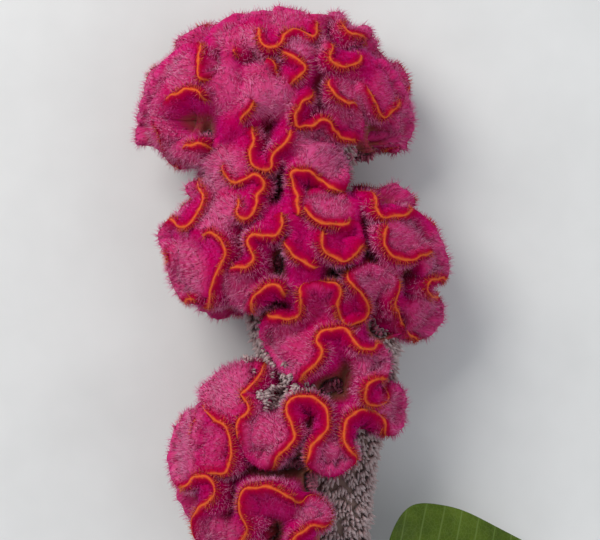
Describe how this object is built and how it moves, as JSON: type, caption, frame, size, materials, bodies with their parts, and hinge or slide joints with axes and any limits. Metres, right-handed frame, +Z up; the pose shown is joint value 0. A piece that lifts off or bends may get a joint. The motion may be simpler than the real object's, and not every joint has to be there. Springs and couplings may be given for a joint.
{
  "type": "cockscomb flower",
  "caption": "Cut cockscomb flower lying on its back: a tall, ruffled velvety crest on a broad floret-covered stalk, with a short leafy stem.",
  "frame": {"origin": "middle of the flower's box at the height of the surface that it lies on", "axes": "+Y up the plant from the cut end of the stem to the crown, +X across the head, +Z up away from the surface"},
  "size_m": [0.1548, 0.341, 0.0676],
  "materials": {
    "comb": "velvety crimson to magenta crest with an orange growing edge",
    "rachis": "papery, silvery pink florets",
    "stem": "smooth, grooved green stem",
    "leaf": "soft green leaf"
  },
  "bodies": {
    "root": {"comb": "comb", "rachis": "rachis", "stem": "stem", "leaf_0": "leaf", "leaf_1": "leaf", "leaf_2": "leaf", "leaf_3": "leaf"}
  },
  "joints": []
}
